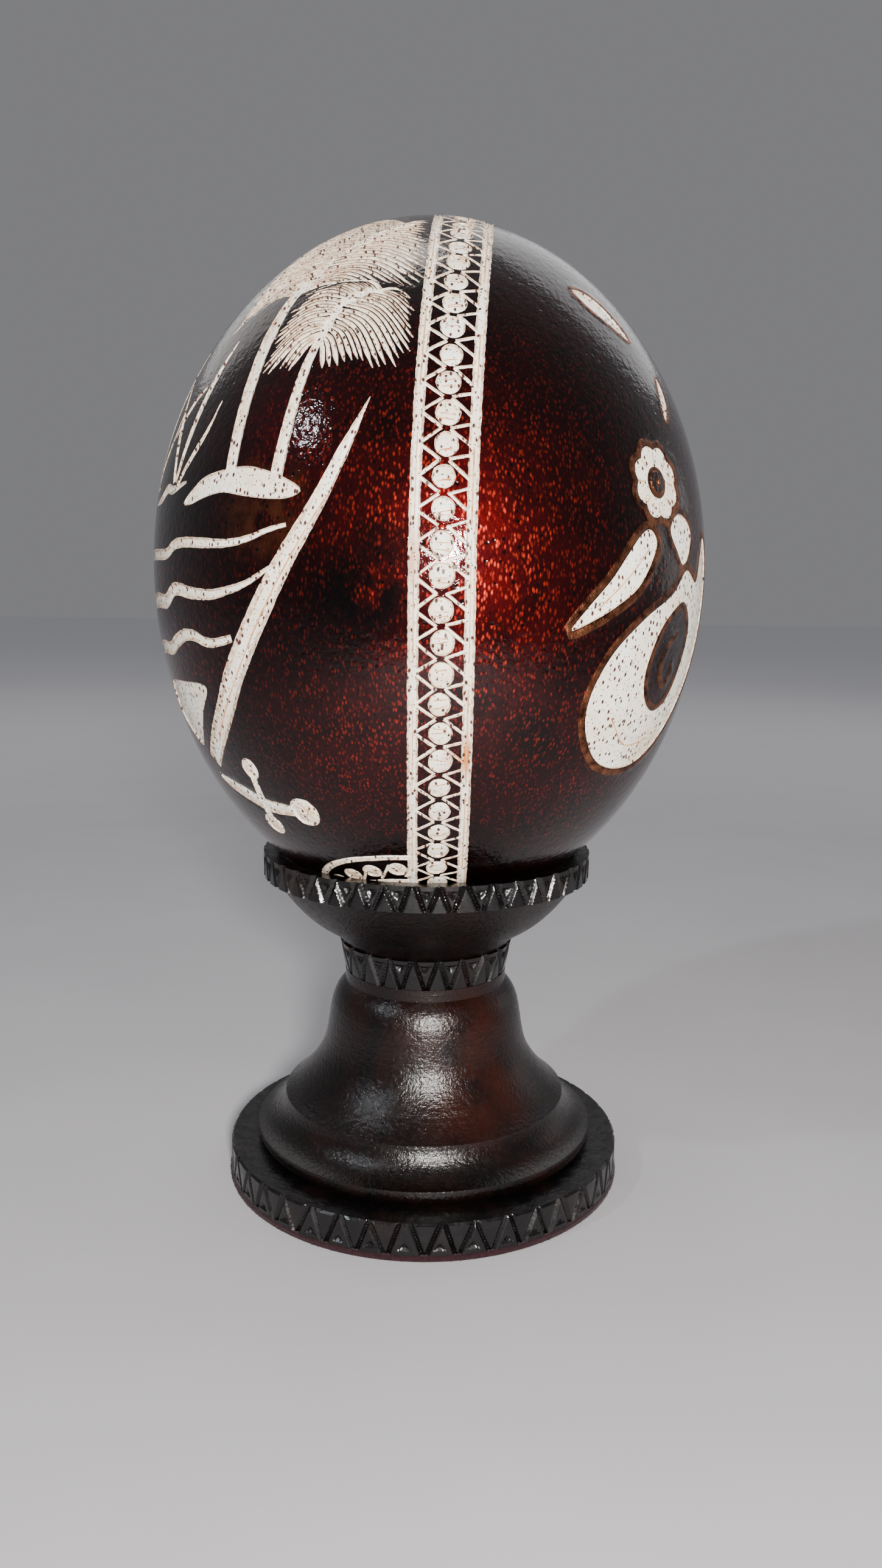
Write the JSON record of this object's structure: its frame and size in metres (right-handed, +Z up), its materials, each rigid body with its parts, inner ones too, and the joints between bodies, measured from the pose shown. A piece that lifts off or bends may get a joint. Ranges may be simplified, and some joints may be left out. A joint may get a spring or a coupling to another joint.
{
  "type": "decorated egg on stand",
  "caption": "Engraved, dyed ostrich egg resting in a turned wooden cup stand with chip-carved rings; the egg turns on its felt seat and lifts out.",
  "frame": {"origin": "centre of the felt underside, on the surface that the stand rests on", "axes": "+Z up along the common axis of egg and stand; the engraved meridian band faces -Y"},
  "size_m": [0.127, 0.127, 0.2254],
  "materials": {
    "dyed_shell": "dark maroon dye under clear lacquer, engraved down to the cream shell",
    "cork": "raw cork",
    "felt": "fuzzy dark maroon felt",
    "carved_black_wood": "chip-carved, black satin paint worn to brown on the edges",
    "stained_wood": "dark red-brown stain under gloss lacquer",
    "raw_wood": "plain sanded dowel",
    "screw_steel": "zinc plated"
  },
  "bodies": {
    "stand": {"felt_pad": "felt", "base_disc": "carved_black_wood", "base_screw": "screw_steel", "bell_pedestal": "stained_wood", "neck_dowel": "raw_wood", "neck_collar": "carved_black_wood", "cup_bowl": "stained_wood", "rim_ring": "carved_black_wood"},
    "egg_seat": {"seat_felt": "felt"},
    "egg": {"egg_shell": "dyed_shell", "blow_hole_bung": "cork"}
  },
  "joints": [
    {"name": "egg_turn", "type": "hinge", "parent": "stand", "child": "egg_seat", "pos_m": [0, 0, 0.0765], "axis": [0, 0, 1], "continuous": true},
    {"name": "egg_lift", "type": "slide", "parent": "egg_seat", "child": "egg", "axis": [0, 0, 1], "range_m": [0, 0.04]}
  ]
}
